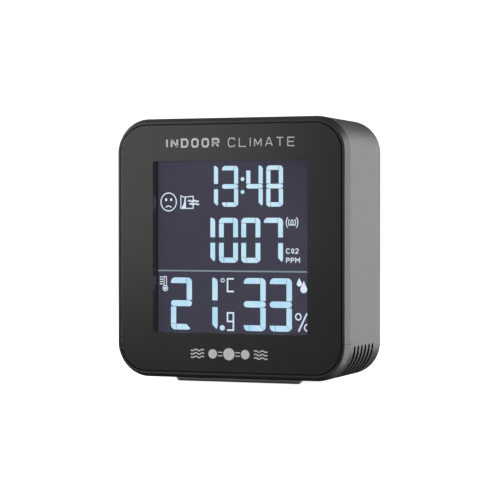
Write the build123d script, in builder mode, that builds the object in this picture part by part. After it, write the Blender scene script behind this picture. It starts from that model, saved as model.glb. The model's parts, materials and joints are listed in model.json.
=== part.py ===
"""Desktop carbon dioxide monitor: a flat upright box with a display window, on a low foot.

Millimetres. X runs to the right, Y to the rear and Z up. The origin is under the middle of
the foot, half way through the depth. A depth is a distance behind the front plane.
"""

import os
from math import atan, degrees

from build123d import *

# Body
body_width = 80.0
body_height = 83.2
body_depth = 35.0
corner_radius = 11.0
wall = 2.0
foot_drop = 1.5
half_depth = body_depth / 2
mid_z = foot_drop + body_height / 2

# Front frame
shoulder_depth = 2.3
shoulder_spread = 1.06
frame_depth = 2.4
rim_width = 0.76
rim_round = 0.2
ledge_back = 3.2
tongue_length = 2.0
tongue_wall = 1.5
fit_gap = 0.15
parting_gap = 0.06
parting_band = 0.5
frame_opening_width = 64.0
frame_opening_height = 66.0

# Front panel and window
groove = 0.3
panel_round = 0.15
panel_thickness = 1.6
window_width = 53.2
window_height = 55.0
window_x = 0.0
window_z = mid_z + 0.4
collar_wall = 3.0
collar_back = 2.7
lens_thickness = 1.0
lens_overlap = 2.0

# Rear housing
housing_shrink = 0.44
rear_fillet = 3.0
housing_length = body_depth - frame_depth
draft = degrees(atan(housing_shrink / housing_length))
rear_wall_depth = body_depth - wall

# Corner vents
vent_first_depth = 6.9
vent_pitch = 3.53
vent_count = 6
vent_width = 1.7
vent_top_z = foot_drop + corner_radius + 0.15
vent_inner_x = 31.5
screen_thickness = 0.3

# Rear vents
rear_vent_count = 9
rear_vent_pitch = 4.0
rear_vent_width = 1.8
rear_vent_height = 15.0
rear_vent_z = 36.0

# Foot: a flush plate that carries two rubber bars
foot_width = 50.0
foot_front = 5.0
foot_back = 30.0
foot_radius = 3.0
foot_sink = 1.0
foot_proud = 0.15
foot_gap = 0.15
bar_width = 44.0
bar_depth = 2.8
bar_sink = 0.6
bar_edge = 0.7
bar_radius = 1.2
bar_end_run = 1.3
bar_offset = 9.1
foot_screw_x = 17.0
foot_head_radius = 1.8

# Display, front to back
display_clearance = 0.1
polarizer_front = 4.45
polarizer_thickness = 0.2
glass_thickness = 0.7
glass_width = 59.6
glass_height = 61.6
contact_ledge = 3.0
diffuser_thickness = 0.25
guide_thickness = 2.0
reflector_thickness = 0.15
led_count = 4
led_length = 3.0
led_width = 1.4
holder_wall = 1.3
holder_front = 4.35
holder_plate_front = 8.65
holder_plate_back = 9.65
strip_thickness = 2.0

# Boards
board_thickness = 1.6
display_board_front = 11.0
display_board_width = 71.0
display_board_height = 74.0
main_board_front = 26.0
main_board_width = 68.0
main_board_height = 70.0
board_radius = 5.0

# Fastening
boss_radius = 2.7
pillar_radius = 3.2
boss_end = 14.0
thread_radius = 1.0
thread_gap = 0.05
head_radius = 2.0
head_height = 1.3
head_pocket_radius = 2.3
head_seat = 17.0
housing_screw_tip = 6.5
upper_screw_x = 33.0
upper_screw_z = mid_z + 34.5
lower_screw_x = 24.0
lower_screw_z = mid_z - 35.5
board_boss_radius = 2.2
display_screw_x = 34.0
display_screw_rise = 18.0
main_screw_x = 30.0
main_screw_low_z = 36.5
main_screw_high_z = 68.0
board_screw_length = 5.0

# Gas sensor
sensor_x = 17.0
sensor_z = 23.0
sensor_width = 33.0
sensor_height = 20.0
sensor_front = 14.8
sensor_board_front = 22.3
sensor_board_thickness = 1.2

# Climate sensor
climate_x = -27.0
climate_z = 17.0
climate_board_front = 22.5
climate_board_thickness = 1.0

# Battery
battery_width = 50.0
battery_height = 34.0
battery_z = 57.0
battery_front = 17.0
battery_back = 25.0
battery_port_x = -30.0
battery_port_front = 21.5
lead_radius = 0.6
lead_depth = 23.0
lead_bend = 3.0
lead_pitch = 1.6

# Controls on the rear
button_z = 60.0
button_spacing = 15.0
button_names = ["menu", "up", "down", "set"]
cap_radius = 4.0
cap_gap = 0.25
cap_recess = 0.3
flange_radius = 4.8
flange_thickness = 1.0
flange_gap = 0.1
switch_size = 6.0
switch_height = 3.5
plunger_radius = 1.75
slider_x = -20.0
slider_z = 17.0
slider_travel = 1.0
nub_width = 4.2
nub_height = 3.0
slot_gap = 0.2
usb_z = 14.0
usb_width = 8.94
usb_height = 3.26
usb_wall = 0.3
usb_back = 34.4
usb_opening_gap = 0.35

display_board_back = display_board_front + board_thickness
main_board_back = main_board_front + board_thickness
housing_screws_at = [
    (-upper_screw_x, upper_screw_z),
    (upper_screw_x, upper_screw_z),
    (-lower_screw_x, lower_screw_z),
    (lower_screw_x, lower_screw_z),
]
display_screws_at = [
    (side * display_screw_x, mid_z + rise)
    for side in (-1, 1)
    for rise in (-display_screw_rise, display_screw_rise)
]
main_screws_at = [
    (side * main_screw_x, height)
    for side in (-1, 1)
    for height in (main_screw_low_z, main_screw_high_z)
]
button_xs = [(place - 1.5) * button_spacing for place in range(len(button_names))]


def upright(depth):
    """Sketch plane facing forward at a depth; its own x is X and its own y is Z."""
    return Plane.XZ.offset(half_depth - depth)


def backward(depth):
    """Sketch plane facing the rear at a depth; its own x is -X and its own y is Z."""
    return Plane(origin=(0, depth - half_depth, 0), x_dir=(-1, 0, 0), z_dir=(0, 1, 0))


def level(height):
    """Sketch plane facing up at a height; its own x is X and its own y is Y."""
    return Plane.XY.offset(height)


parts = []


def finish(builder, name):
    """Label a finished sub-part and keep it for export."""
    builder.part.label = name
    parts.append(builder.part)


# Front frame: bevelled shoulder, seat for the panel, tongue and screw bosses
shoulder_angle = degrees(atan(shoulder_spread / shoulder_depth))
seat_width = body_width - 2 * shoulder_spread - 2 * rim_width
seat_height = body_height - 2 * shoulder_spread - 2 * rim_width
seat_radius = corner_radius - shoulder_spread - rim_width
cavity_width = body_width - 2 * wall
cavity_height = body_height - 2 * wall
cavity_radius = corner_radius - wall
tongue_back = frame_depth + tongue_length

with BuildPart() as front_frame:
    with BuildSketch(upright(shoulder_depth)):
        with Locations((0, mid_z)):
            RectangleRounded(body_width, body_height, corner_radius)
    extrude(amount=shoulder_depth, taper=shoulder_angle)
    with BuildSketch(upright(shoulder_depth)):
        with Locations((0, mid_z)):
            RectangleRounded(body_width, body_height, corner_radius)
    extrude(amount=-(frame_depth - parting_gap - shoulder_depth))
    with BuildSketch(upright(frame_depth - parting_gap)):
        with Locations((0, mid_z)):
            RectangleRounded(
                body_width - 2 * parting_band, body_height - 2 * parting_band,
                corner_radius - parting_band,
            )
    extrude(amount=-parting_gap)
    with BuildSketch(upright(frame_depth)):
        with Locations((0, mid_z)):
            RectangleRounded(
                cavity_width - 2 * fit_gap, cavity_height - 2 * fit_gap, cavity_radius - fit_gap
            )
    extrude(amount=-tongue_length)
    with BuildSketch(upright(ledge_back)):
        with Locations((0, mid_z)):
            RectangleRounded(
                cavity_width - 2 * tongue_wall, cavity_height - 2 * tongue_wall,
                cavity_radius - tongue_wall,
            )
    extrude(amount=-(tongue_back - ledge_back), mode=Mode.SUBTRACT)
    with BuildSketch(upright(ledge_back)):
        with Locations(*housing_screws_at):
            Circle(boss_radius)
    extrude(amount=-(boss_end - ledge_back))
    with BuildSketch(upright(ledge_back)):
        with Locations(*display_screws_at):
            Circle(board_boss_radius)
    extrude(amount=-(display_board_front - ledge_back))
    with BuildSketch(upright(0)):
        with Locations((0, mid_z)):
            RectangleRounded(seat_width, seat_height, seat_radius)
    extrude(amount=-panel_thickness, mode=Mode.SUBTRACT)
    with BuildSketch(upright(panel_thickness)):
        with Locations((0, mid_z)):
            RectangleRounded(frame_opening_width, frame_opening_height, 4)
    extrude(amount=-(ledge_back - panel_thickness), mode=Mode.SUBTRACT)
    with BuildSketch(upright(boss_end)):
        with Locations(*housing_screws_at):
            Circle(thread_radius + thread_gap)
    extrude(amount=boss_end - housing_screw_tip + 1, mode=Mode.SUBTRACT)
    with BuildSketch(upright(display_board_front)):
        with Locations(*display_screws_at):
            Circle(thread_radius + thread_gap)
    extrude(amount=board_screw_length, mode=Mode.SUBTRACT)
    fillet(front_frame.faces().sort_by(Axis.Y)[0].outer_wire().edges(), rim_round)
finish(front_frame, "front_frame")

# Front panel: inset face plate with the display window and a collar behind it
with BuildPart() as front_panel:
    with BuildSketch(upright(0)):
        with Locations((0, mid_z)):
            RectangleRounded(
                seat_width - 2 * groove, seat_height - 2 * groove, seat_radius - groove
            )
    extrude(amount=-panel_thickness)
    with BuildSketch(upright(panel_thickness)):
        with Locations((window_x, window_z)):
            RectangleRounded(window_width + 2 * collar_wall, window_height + 2 * collar_wall, 2)
    extrude(amount=-(collar_back - panel_thickness))
    with BuildSketch(upright(0)):
        with Locations((window_x, window_z)):
            RectangleRounded(window_width, window_height, 0.8)
    extrude(amount=-collar_back, mode=Mode.SUBTRACT)
    fillet(front_panel.faces().sort_by(Axis.Y)[0].outer_wire().edges(), panel_round)
finish(front_panel, "front_panel")

# Window lens behind the collar
with BuildPart() as window_lens:
    with BuildSketch(upright(collar_back)):
        with Locations((window_x, window_z)):
            RectangleRounded(window_width + 2 * lens_overlap, window_height + 2 * lens_overlap, 1.5)
    extrude(amount=-lens_thickness)
finish(window_lens, "window_lens")

# Rear housing: drafted tub with vents, pillars and openings for the controls
with BuildPart() as rear_housing:
    with BuildSketch(backward(frame_depth)):
        with Locations((0, mid_z)):
            RectangleRounded(body_width, body_height, corner_radius)
    extrude(amount=housing_length, taper=draft)
    fillet(rear_housing.faces().sort_by(Axis.Y)[-1].edges(), rear_fillet)
    with BuildSketch(backward(frame_depth)):
        with Locations((0, mid_z)):
            RectangleRounded(cavity_width, cavity_height, cavity_radius)
    extrude(amount=housing_length - wall, taper=draft, mode=Mode.SUBTRACT)
    # Corner pillars for the housing screws
    with BuildSketch(backward(boss_end)):
        with Locations(*housing_screws_at):
            Circle(pillar_radius)
    extrude(amount=rear_wall_depth - boss_end)
    # Bosses for the main board
    with BuildSketch(backward(main_board_back)):
        with Locations(*main_screws_at):
            Circle(board_boss_radius + 0.3)
    extrude(amount=rear_wall_depth - main_board_back)
    # Bosses for the foot screws
    with BuildSketch(level(foot_drop + wall / 2)):
        with Locations((-foot_screw_x, 0), (foot_screw_x, 0)):
            Circle(board_boss_radius + 0.3)
    extrude(amount=5.5)
    # Screw holes, with a head pocket from the rear
    with BuildSketch(backward(boss_end)):
        with Locations(*housing_screws_at):
            Circle(thread_radius + 2 * thread_gap)
    extrude(amount=body_depth - boss_end, mode=Mode.SUBTRACT)
    with BuildSketch(backward(head_seat)):
        with Locations(*housing_screws_at):
            Circle(head_pocket_radius)
    extrude(amount=body_depth - head_seat, mode=Mode.SUBTRACT)
    with BuildSketch(backward(main_board_back)):
        with Locations(*main_screws_at):
            Circle(thread_radius + thread_gap)
    extrude(amount=board_screw_length - board_thickness + 0.5, mode=Mode.SUBTRACT)
    # Sunk seat and screw holes for the foot
    with BuildSketch(level(0)):
        with Locations((0, (foot_front + foot_back) / 2 - half_depth)):
            RectangleRounded(
                foot_width + 2 * foot_gap, foot_back - foot_front + 2 * foot_gap,
                foot_radius + foot_gap,
            )
    extrude(amount=foot_drop + foot_sink, mode=Mode.SUBTRACT)
    with BuildSketch(level(0)):
        with Locations((-foot_screw_x, 0), (foot_screw_x, 0)):
            Circle(thread_radius + thread_gap)
    extrude(amount=7, mode=Mode.SUBTRACT)
    # Corner vents on both sides, rounded at their top ends
    for side in (-1, 1):
        with BuildSketch(Plane.YZ.offset(side * vent_inner_x)):
            for place in range(vent_count):
                slot_y = vent_first_depth + place * vent_pitch - half_depth
                with Locations((slot_y, (vent_top_z - vent_width / 2) / 2)):
                    Rectangle(vent_width, vent_top_z - vent_width / 2)
                with Locations((slot_y, vent_top_z - vent_width / 2)):
                    Circle(vent_width / 2)
        extrude(amount=side * (body_width / 2 - vent_inner_x + 1), mode=Mode.SUBTRACT)
    # Rear vents
    with BuildSketch(backward(rear_wall_depth)):
        with Locations((0, rear_vent_z)):
            with GridLocations(rear_vent_pitch, 1, rear_vent_count, 1):
                SlotOverall(rear_vent_height, rear_vent_width, rotation=90)
    extrude(amount=wall, mode=Mode.SUBTRACT)
    # Button holes
    with BuildSketch(upright(body_depth)):
        with Locations(*[(x, button_z) for x in button_xs]):
            Circle(cap_radius + cap_gap)
    extrude(amount=wall, mode=Mode.SUBTRACT)
    # Slider slot
    with BuildSketch(upright(body_depth)):
        with Locations((slider_x, slider_z)):
            RectangleRounded(
                nub_width + 2 * slider_travel + 2 * slot_gap, nub_height + 2 * slot_gap, 0.6
            )
    extrude(amount=wall, mode=Mode.SUBTRACT)
    # USB opening, with a shallow recess for the plug's grip
    with BuildSketch(upright(body_depth)):
        with Locations((0, usb_z)):
            SlotOverall(usb_width + 2 * usb_opening_gap, usb_height + 2 * usb_opening_gap)
    extrude(amount=wall, mode=Mode.SUBTRACT)
    with BuildSketch(upright(body_depth)):
        with Locations((0, usb_z)):
            RectangleRounded(13.5, 7.6, 2.5)
    extrude(amount=0.6, mode=Mode.SUBTRACT)
finish(rear_housing, "rear_housing")

# Dust screens lining the cavity behind the corner vents
with BuildPart() as dust_screens:
    with BuildSketch(backward(frame_depth)):
        with Locations((0, mid_z)):
            RectangleRounded(cavity_width, cavity_height, cavity_radius)
    extrude(amount=housing_length - wall, taper=draft)
    with BuildSketch(backward(frame_depth)):
        with Locations((0, mid_z)):
            RectangleRounded(
                cavity_width - 2 * screen_thickness, cavity_height - 2 * screen_thickness,
                cavity_radius - screen_thickness,
            )
    extrude(amount=housing_length - wall, taper=draft, mode=Mode.SUBTRACT)
    with BuildSketch(backward(tongue_back + 0.3)):
        for side in (-1, 1):
            with Locations((side * (cavity_width / 2 - 3), foot_drop + wall + 5)):
                Rectangle(10, 11)
    extrude(amount=vent_count * vent_pitch + 0.5, mode=Mode.INTERSECT)
finish(dust_screens, "dust_screens")

# Foot plate, let into the underside almost flush
foot_mid_y = (foot_front + foot_back) / 2 - half_depth
plate_low_z = foot_drop - foot_proud
bar_places = [(0, foot_mid_y - bar_offset), (0, foot_mid_y + bar_offset)]
with BuildPart() as foot_plate:
    with BuildSketch(level(plate_low_z)):
        with Locations((0, foot_mid_y)):
            RectangleRounded(foot_width, foot_back - foot_front, foot_radius)
    extrude(amount=foot_drop + foot_sink - plate_low_z)
    with BuildSketch(level(plate_low_z)):
        with Locations(*bar_places):
            RectangleRounded(bar_width, bar_depth, bar_radius)
    extrude(amount=bar_sink, mode=Mode.SUBTRACT)
    with Locations(
        Location((-foot_screw_x, 0, plate_low_z), (180, 0, 0)),
        Location((foot_screw_x, 0, plate_low_z), (180, 0, 0)),
    ):
        CounterSinkHole(thread_radius + thread_gap, head_radius + 0.2, counter_sink_angle=90)
finish(foot_plate, "foot_plate")

# Rubber bars that the monitor stands on, pressed into the foot plate
with BuildPart() as foot_bars:
    with BuildSketch(level(0)):
        with Locations(*bar_places):
            RectangleRounded(bar_width, bar_depth, bar_radius)
    extrude(amount=plate_low_z + bar_sink)
    fillet(foot_bars.faces().filter_by(Axis.Z).group_by(Axis.Z)[0].edges(), bar_edge)
    with BuildSketch(Plane.XZ):
        with BuildLine():
            Polyline(
                (bar_end_run - bar_width / 2, 0), (-bar_width / 2, plate_low_z),
                (-bar_width / 2, plate_low_z + bar_sink), (bar_width / 2, plate_low_z + bar_sink),
                (bar_width / 2, plate_low_z), (bar_width / 2 - bar_end_run, 0),
                close=True,
            )
        make_face()
    extrude(amount=body_depth, both=True, mode=Mode.INTERSECT)
finish(foot_bars, "foot_bars")

# Countersunk foot screws, their heads just below the plate's face
screw_low_z = plate_low_z + 0.1
head_edge_z = screw_low_z + 0.1
cone_top_z = head_edge_z + foot_head_radius - thread_radius
with BuildPart() as foot_screw:
    with BuildSketch(Plane.XZ):
        with BuildLine():
            Polyline(
                (0, screw_low_z), (foot_head_radius, screw_low_z), (foot_head_radius, head_edge_z),
                (thread_radius, cone_top_z), (thread_radius, 7.0), (0, 7.0), (0, screw_low_z),
            )
        make_face()
    revolve(axis=Axis.Z)
    with BuildSketch(level(screw_low_z)):
        Rectangle(2.4, 0.5)
        Rectangle(0.5, 2.4)
    extrude(amount=0.5, mode=Mode.SUBTRACT)
with BuildPart() as foot_screws:
    for x in (-foot_screw_x, foot_screw_x):
        add(foot_screw.part.moved(Location((x, 0, 0))))
finish(foot_screws, "foot_screws")


def pan_screw(seat, length):
    """Pan head screw along Y at the origin's X and Z, its head behind the seat depth."""
    with BuildPart() as screw:
        with BuildSketch(backward(seat)):
            Circle(head_radius)
        extrude(amount=head_height)
        fillet(screw.faces().sort_by(Axis.Y)[-1].edges(), 0.5)
        with BuildSketch(backward(seat + head_height)):
            Rectangle(2.2, 0.5)
            Rectangle(0.5, 2.2)
        extrude(amount=-0.7, mode=Mode.SUBTRACT)
        with BuildSketch(backward(seat)):
            Circle(thread_radius)
        extrude(amount=-length)
        chamfer(screw.faces().sort_by(Axis.Y)[0].edges(), 0.3)
    return screw.part


housing_screw = pan_screw(head_seat, head_seat - housing_screw_tip)
with BuildPart() as housing_screws:
    for x, z in housing_screws_at:
        add(housing_screw.moved(Location((x, 0, z))))
finish(housing_screws, "housing_screws")

display_screw = pan_screw(display_board_back, board_screw_length)
with BuildPart() as display_board_screws:
    for x, z in display_screws_at:
        add(display_screw.moved(Location((x, 0, z))))
finish(display_board_screws, "display_board_screws")

# The main board's screws point the other way, into the rear housing
main_screw = pan_screw(0, board_screw_length).rotate(Axis((0, -half_depth, 0), (0, 0, 1)), 180)
with BuildPart() as main_board_screws:
    for x, z in main_screws_at:
        add(main_screw.moved(Location((x, main_board_front, z))))
finish(main_board_screws, "main_board_screws")

# Display stack
front_glass_front = polarizer_front + polarizer_thickness
rear_glass_front = front_glass_front + glass_thickness
rear_glass_back = rear_glass_front + glass_thickness
rear_polarizer_back = rear_glass_back + polarizer_thickness
diffuser_back = rear_polarizer_back + diffuser_thickness
guide_back = diffuser_back + guide_thickness
upper_height = glass_height - contact_ledge
upper_z = window_z + contact_ledge / 2
light_room = glass_width + 2 * display_clearance
guide_width = light_room - led_width - 0.4
guide_x = window_x - light_room / 2 + guide_width / 2


def display_sheet(name, front, back, x, z, width, height):
    """One flat sheet of the display stack, between two depths."""
    with BuildPart() as sheet:
        with BuildSketch(upright(front)):
            with Locations((x, z)):
                Rectangle(width, height)
        extrude(amount=-(back - front))
    finish(sheet, name)


display_sheet(
    "lcd_front_polarizer", polarizer_front, front_glass_front,
    window_x, window_z, glass_width - 1, glass_height - 1,
)
display_sheet(
    "lcd_front_glass", front_glass_front, rear_glass_front,
    window_x, window_z, glass_width, glass_height,
)
display_sheet(
    "lcd_rear_glass", rear_glass_front, rear_glass_back,
    window_x, upper_z, glass_width, upper_height,
)
display_sheet(
    "lcd_rear_polarizer", rear_glass_back, rear_polarizer_back,
    window_x, upper_z, glass_width - 1, upper_height - 1,
)
display_sheet(
    "backlight_diffuser", rear_polarizer_back, diffuser_back,
    window_x, upper_z, glass_width, upper_height,
)
display_sheet("backlight_guide", diffuser_back, guide_back, guide_x, upper_z, guide_width, upper_height)
display_sheet(
    "backlight_reflector", guide_back, guide_back + reflector_thickness,
    guide_x, upper_z, guide_width, upper_height,
)

# Backlight diodes along the guide's right edge
led_x = guide_x + guide_width / 2 + 0.1 + led_width / 2
with BuildPart() as backlight_leds:
    with BuildSketch(upright(diffuser_back)):
        with Locations((led_x, upper_z)):
            with GridLocations(1, upper_height / led_count, 1, led_count):
                Rectangle(led_width, led_length)
    extrude(amount=-guide_thickness)
finish(backlight_leds, "backlight_leds")

# Display holder: open tray with a slot for the contact strip and four legs
holder_width = light_room + 2 * holder_wall
holder_height = glass_height + 2 * display_clearance + 2 * holder_wall
strip_z = window_z - glass_height / 2 + 0.3 + strip_thickness / 2
with BuildPart() as display_holder:
    with BuildSketch(upright(holder_front)):
        with Locations((window_x, window_z)):
            RectangleRounded(holder_width, holder_height, 2)
    extrude(amount=-(holder_plate_back - holder_front))
    with BuildSketch(upright(holder_front)):
        with Locations((window_x, window_z)):
            Rectangle(light_room, glass_height + 2 * display_clearance)
    extrude(amount=-(holder_plate_front - holder_front), mode=Mode.SUBTRACT)
    with BuildSketch(upright(holder_plate_back)):
        with Locations((window_x, window_z)):
            with GridLocations(50, 52, 2, 2):
                Circle(1.8)
    extrude(amount=-(display_board_front - holder_plate_back))
    with BuildSketch(upright(holder_plate_front)):
        with Locations((window_x, strip_z)):
            Rectangle(55, strip_thickness + 0.2)
    extrude(amount=-(holder_plate_back - holder_plate_front), mode=Mode.SUBTRACT)
finish(display_holder, "display_holder")

# Elastomer strip that carries the contacts from the glass to the board
display_sheet(
    "contact_strip", rear_glass_front, display_board_front, window_x, strip_z, 54, strip_thickness
)


def board(name, front, width, height, z, notches, notch_radius, holes, corner=board_radius):
    """Circuit board with round notches for the pillars and holes for its screws."""
    with BuildPart() as sheet:
        with BuildSketch(upright(front)):
            with Locations((0, z)):
                RectangleRounded(width, height, corner)
            with Locations(*notches):
                Circle(notch_radius, mode=Mode.SUBTRACT)
            with Locations(*holes):
                Circle(thread_radius + 2 * thread_gap, mode=Mode.SUBTRACT)
        extrude(amount=-board_thickness)
    finish(sheet, name)


board(
    "display_board", display_board_front, display_board_width, display_board_height, mid_z,
    housing_screws_at, boss_radius + 0.5, display_screws_at,
)
board(
    "main_board", main_board_front, main_board_width, main_board_height, mid_z,
    housing_screws_at, pillar_radius + 0.4, main_screws_at,
)


def block(name, front, back, places, width, height, corner=0.2):
    """Flat-faced components of one kind, between two depths, at places in X and Z."""
    with BuildPart() as blocks:
        with BuildSketch(upright(front)):
            with Locations(*places):
                RectangleRounded(width, height, corner)
        extrude(amount=-(back - front))
    finish(blocks, name)


# Small components on the boards
block("display_driver", display_board_back, display_board_back + 1.2, [(0, 50)], 14, 10)
block("microcontroller", main_board_back, main_board_back + 1.4, [(9, 48)], 10, 10)
block(
    "resistors", main_board_back, main_board_back + 0.5,
    [(x, z) for x in (-4, -1, 18, 21) for z in (44, 47, 50, 53)], 1.0, 2.0, 0.1,
)
with BuildPart() as capacitors:
    with BuildSketch(upright(main_board_back)):
        with Locations((-14, 48), (-20, 48), (14, 22), (20, 22)):
            Circle(2.2)
    extrude(amount=-4.6)
finish(capacitors, "capacitors")

# Board link: a socket on the display board and a header on the main board
link_joint = display_board_back + 8.5
block("board_link_socket", display_board_back, link_joint, [(0, 36.3)], 20.5, 2.6)
block("board_link_header", link_joint, main_board_front, [(0, 36.3)], 20.5, 2.6)

# Gas sensor: optical chamber under a filter membrane, on its own board
block(
    "gas_sensor_body", sensor_front, sensor_board_front, [(sensor_x, sensor_z)],
    sensor_width - 3, sensor_height - 2, 1.5,
)
block("gas_sensor_filter", sensor_front - 0.2, sensor_front, [(sensor_x, sensor_z)], 20, 12, 1)
block(
    "gas_sensor_board", sensor_board_front, sensor_board_front + sensor_board_thickness,
    [(sensor_x, sensor_z)], sensor_width, sensor_height, 0.5,
)
block(
    "gas_sensor_header", sensor_board_front + sensor_board_thickness, main_board_front,
    [(sensor_x - 14.5, sensor_z), (sensor_x + 14.5, sensor_z)], 2.5, 12.7,
)

# Climate sensor, in the air of the other corner's vents
climate_board_back = climate_board_front + climate_board_thickness
block(
    "climate_sensor_board", climate_board_front, climate_board_back,
    [(climate_x, climate_z)], 10, 9, 0.5,
)
block(
    "climate_sensor_chip", climate_board_front - 1.1, climate_board_front,
    [(climate_x, climate_z - 2)], 3, 3,
)
block(
    "climate_sensor_header", climate_board_back, main_board_front,
    [(climate_x, climate_z + 3)], 7.6, 2.5,
)

# Battery, its tape and its plug
block("battery_cell", battery_front, battery_back, [(0, battery_z)], battery_width, battery_height, 3)
block("battery_tape", battery_back, main_board_front, [(0, battery_z)], 40, 20, 1)
port_back = main_board_front
block("battery_header", battery_port_front, port_back, [(battery_port_x, 56)], 5.8, 6, 0.4)
block("battery_plug", battery_port_front + 0.5, lead_depth + 1, [(battery_port_x, 61.5)], 5.2, 5, 0.4)

with BuildPart() as battery_leads:
    for place in (0, 1):
        start_x = battery_port_x - lead_pitch / 2 + place * lead_pitch
        top_z = 72 - place * lead_pitch
        with BuildLine(upright(lead_depth)) as lead_path:
            up = Line((start_x, 64), (start_x, top_z - lead_bend))
            bend = TangentArc(up @ 1, (start_x + lead_bend, top_z), tangent=up % 1)
            Line(bend @ 1, (-battery_width / 2, top_z))
        with BuildSketch(Plane(origin=lead_path.line @ 0, z_dir=lead_path.line % 0)):
            Circle(lead_radius)
        sweep(path=lead_path.line)
finish(battery_leads, "battery_leads")

# Buzzer
with BuildPart() as buzzer:
    with BuildSketch(upright(main_board_front)):
        with Locations((-22, 28)):
            Circle(6)
    extrude(amount=5.5)
    with BuildSketch(upright(main_board_front - 5.5)):
        with Locations((-22, 28)):
            Circle(1.2)
    extrude(amount=-1.5, mode=Mode.SUBTRACT)
finish(buzzer, "buzzer")

# Buttons on the rear, each over a tact switch with its own plunger
flange_back = rear_wall_depth - flange_gap
flange_front = flange_back - flange_thickness
switch_back = main_board_back + switch_height
for name, x in zip(button_names, button_xs):
    with BuildPart() as switch_body:
        with BuildSketch(upright(main_board_back)):
            with Locations((x, button_z)):
                RectangleRounded(switch_size, switch_size, 0.4)
        extrude(amount=-switch_height)
        with BuildSketch(upright(switch_back)):
            with Locations((x, button_z)):
                Circle(plunger_radius + 0.1)
        extrude(amount=1.6, mode=Mode.SUBTRACT)
    finish(switch_body, f"{name}_switch_body")

    with BuildPart() as plunger:
        with BuildSketch(upright(flange_front)):
            with Locations((x, button_z)):
                Circle(plunger_radius)
        extrude(amount=flange_front - switch_back + 1.1)
    finish(plunger, f"{name}_plunger")

    with BuildPart() as button:
        with BuildSketch(backward(flange_front)):
            with Locations((-x, button_z)):
                Circle(flange_radius)
        extrude(amount=flange_thickness)
        with BuildSketch(backward(flange_back)):
            with Locations((-x, button_z)):
                Circle(cap_radius)
        extrude(amount=body_depth - cap_recess - flange_back)
        fillet(button.faces().sort_by(Axis.Y)[-1].edges(), 0.4)
    finish(button, f"{name}_button")

# Power slider on the rear, with its slide switch
lever_front = switch_back - 1.0
with BuildPart() as slide_switch:
    with BuildSketch(upright(main_board_back)):
        with Locations((slider_x, slider_z)):
            RectangleRounded(8.6, 4.4, 0.2)
    extrude(amount=-switch_height)
    with BuildSketch(upright(switch_back)):
        with Locations((slider_x, slider_z)):
            Rectangle(4.6, 1.9)
    extrude(amount=1.4, mode=Mode.SUBTRACT)
finish(slide_switch, "slide_switch")

block("slide_lever", lever_front, flange_front, [(slider_x, slider_z)], 1.6, 1.5, 0.2)

with BuildPart() as power_slider:
    with BuildSketch(backward(flange_front)):
        with Locations((-slider_x, slider_z)):
            RectangleRounded(11.5, 5.2, 0.8)
    extrude(amount=flange_thickness)
    with BuildSketch(backward(flange_back)):
        with Locations((-slider_x, slider_z)):
            RectangleRounded(nub_width, nub_height, 0.4)
    extrude(amount=body_depth - cap_recess - flange_back)
    with BuildSketch(backward(body_depth - cap_recess)):
        with Locations((-slider_x, slider_z)):
            with GridLocations(1.2, 1, 3, 1):
                Rectangle(0.4, nub_height)
    extrude(amount=-0.3, mode=Mode.SUBTRACT)
finish(power_slider, "power_slider")

# USB inlet: folded metal shell on the main board, with the contact tongue inside
with BuildPart() as usb_socket:
    with BuildSketch(upright(main_board_back)):
        with Locations((0, usb_z)):
            SlotOverall(usb_width, usb_height)
    extrude(amount=-(usb_back - main_board_back))
    with BuildSketch(upright(usb_back)):
        with Locations((0, usb_z)):
            SlotOverall(usb_width - 2 * usb_wall, usb_height - 2 * usb_wall)
    extrude(amount=usb_back - main_board_back - 0.6, mode=Mode.SUBTRACT)
finish(usb_socket, "usb_socket")

block("usb_tongue", main_board_back + 0.6, usb_back - 0.9, [(0, usb_z)], 6.7, 0.7, 0.1)

os.makedirs("parts", exist_ok=True)
for part in parts:
    export_step(part, f"parts/{part.label}.step")
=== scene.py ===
"""Looks of the carbon dioxide monitor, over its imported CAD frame.

Lengths are in metres, except in the flat shapes of the display and the printed marks: those are in mm,
with x to the viewer's right and z up from the middle of the front frame.
"""

import json
import math

import bmesh
import bpy
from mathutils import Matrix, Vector


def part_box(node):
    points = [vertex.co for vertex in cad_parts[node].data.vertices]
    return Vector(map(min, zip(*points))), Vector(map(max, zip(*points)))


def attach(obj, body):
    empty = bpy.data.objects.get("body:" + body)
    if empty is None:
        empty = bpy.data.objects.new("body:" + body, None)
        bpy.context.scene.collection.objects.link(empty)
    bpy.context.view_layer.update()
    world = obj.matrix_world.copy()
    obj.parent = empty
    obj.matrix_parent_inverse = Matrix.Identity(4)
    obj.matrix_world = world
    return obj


MM = 0.001

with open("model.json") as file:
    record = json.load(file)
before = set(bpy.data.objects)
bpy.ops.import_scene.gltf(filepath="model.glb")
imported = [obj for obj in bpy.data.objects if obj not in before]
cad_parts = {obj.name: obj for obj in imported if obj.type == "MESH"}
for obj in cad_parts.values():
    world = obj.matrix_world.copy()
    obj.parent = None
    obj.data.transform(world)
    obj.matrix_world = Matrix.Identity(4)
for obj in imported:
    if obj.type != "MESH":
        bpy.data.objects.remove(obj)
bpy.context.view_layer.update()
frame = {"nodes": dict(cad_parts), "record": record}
nodes = frame["nodes"]

frame_low, frame_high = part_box("front_frame")
mid_z = (frame_low.z + frame_high.z) / 2
panel_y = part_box("front_panel")[0].y
display_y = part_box("lcd_front_polarizer")[0].y
back_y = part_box("rear_housing")[1].y


# ---------------------------------------------------------------- materials

GRAIN_DEPTH = 0.03 * MM
LEAK_DARK = (0.044, 0.041, 0.065)
LEAK_LIGHT = (0.050, 0.046, 0.072)
LEAK_DIM_CORNER = (0.028, display_y, mid_z + 0.029)
SEGMENT_BLUE = (0.44, 0.74, 0.93)
SEGMENT_WHITE = (0.63, 0.84, 0.95)
SEGMENT_REACH = 26.0 * MM

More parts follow.
